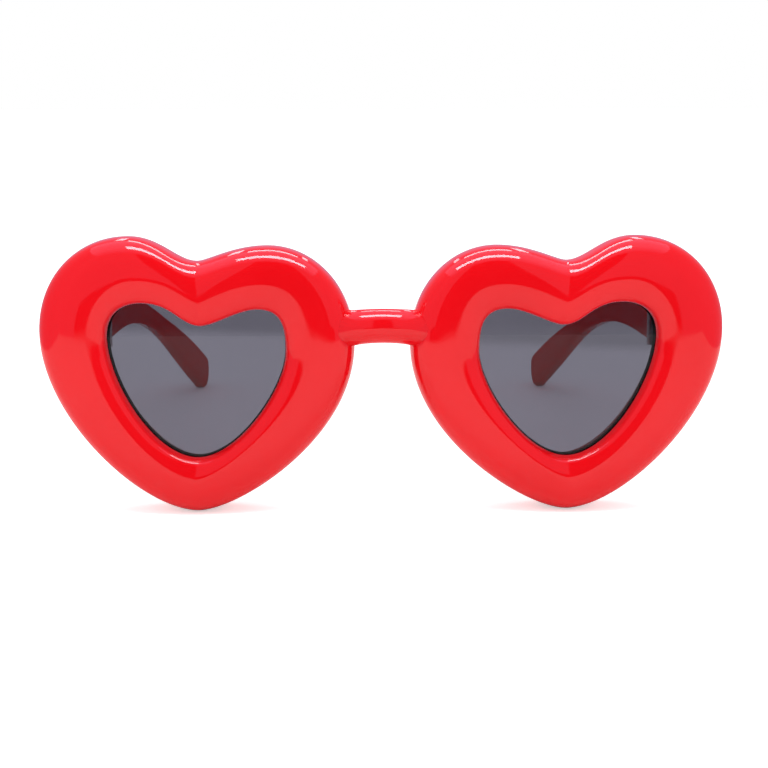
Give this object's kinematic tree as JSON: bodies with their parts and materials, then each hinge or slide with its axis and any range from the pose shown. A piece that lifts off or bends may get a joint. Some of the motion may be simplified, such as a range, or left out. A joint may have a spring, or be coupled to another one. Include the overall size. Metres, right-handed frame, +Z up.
{
  "type": "heart shaped sunglasses",
  "caption": "Sunglasses with puffy hollow heart shaped rims, flat smoke lenses, a round bridge bar and temples that fold on screw hinges.",
  "frame": {"origin": "centre of the bounding box on the surface that the heart tips and temple tips stand on, with the temples open", "axes": "+Z up, the front faces -Y, the temples run towards +Y, +X is the wearer's left"},
  "size_m": [0.1492, 0.152, 0.0606],
  "materials": {
    "red_shell": "opaque red, polished",
    "red_cover": "opaque red, polished, slightly duller at the back",
    "red_pad": "opaque red, satin",
    "lens": "smoke grey tint, polished, flat",
    "hinge_metal": "nickel plated, fine brushed",
    "screw_metal": "bright steel"
  },
  "bodies": {
    "front": {"rim_front_shell_left": "red_shell", "rim_front_shell_right": "red_shell", "rim_rear_cover_left": "red_cover", "rim_rear_cover_right": "red_cover", "lens_left": "lens", "lens_right": "lens", "bridge": "red_shell", "nose_pad_left": "red_pad", "nose_pad_right": "red_pad", "hinge_front_leaf_left": "hinge_metal", "hinge_front_leaf_right": "hinge_metal", "hinge_screw_left": "screw_metal", "hinge_screw_right": "screw_metal", "front_leaf_screws_left": "screw_metal", "front_leaf_screws_right": "screw_metal"},
    "left_temple": {"temple_left": "red_shell", "hinge_temple_leaf_left": "hinge_metal", "temple_leaf_screws_left": "screw_metal"},
    "right_temple": {"temple_right": "red_shell", "hinge_temple_leaf_right": "hinge_metal", "temple_leaf_screws_right": "screw_metal"}
  },
  "joints": [
    {"name": "fold_left", "type": "hinge", "parent": "front", "child": "left_temple", "pos_m": [0.0624, -0.05455, 0.0379], "axis": [0, 0, 1], "range_deg": [0, 86]},
    {"name": "fold_right", "type": "hinge", "parent": "front", "child": "right_temple", "pos_m": [-0.0624, -0.05455, 0.0379], "axis": [0, 0, -1], "range_deg": [0, 77]}
  ]
}
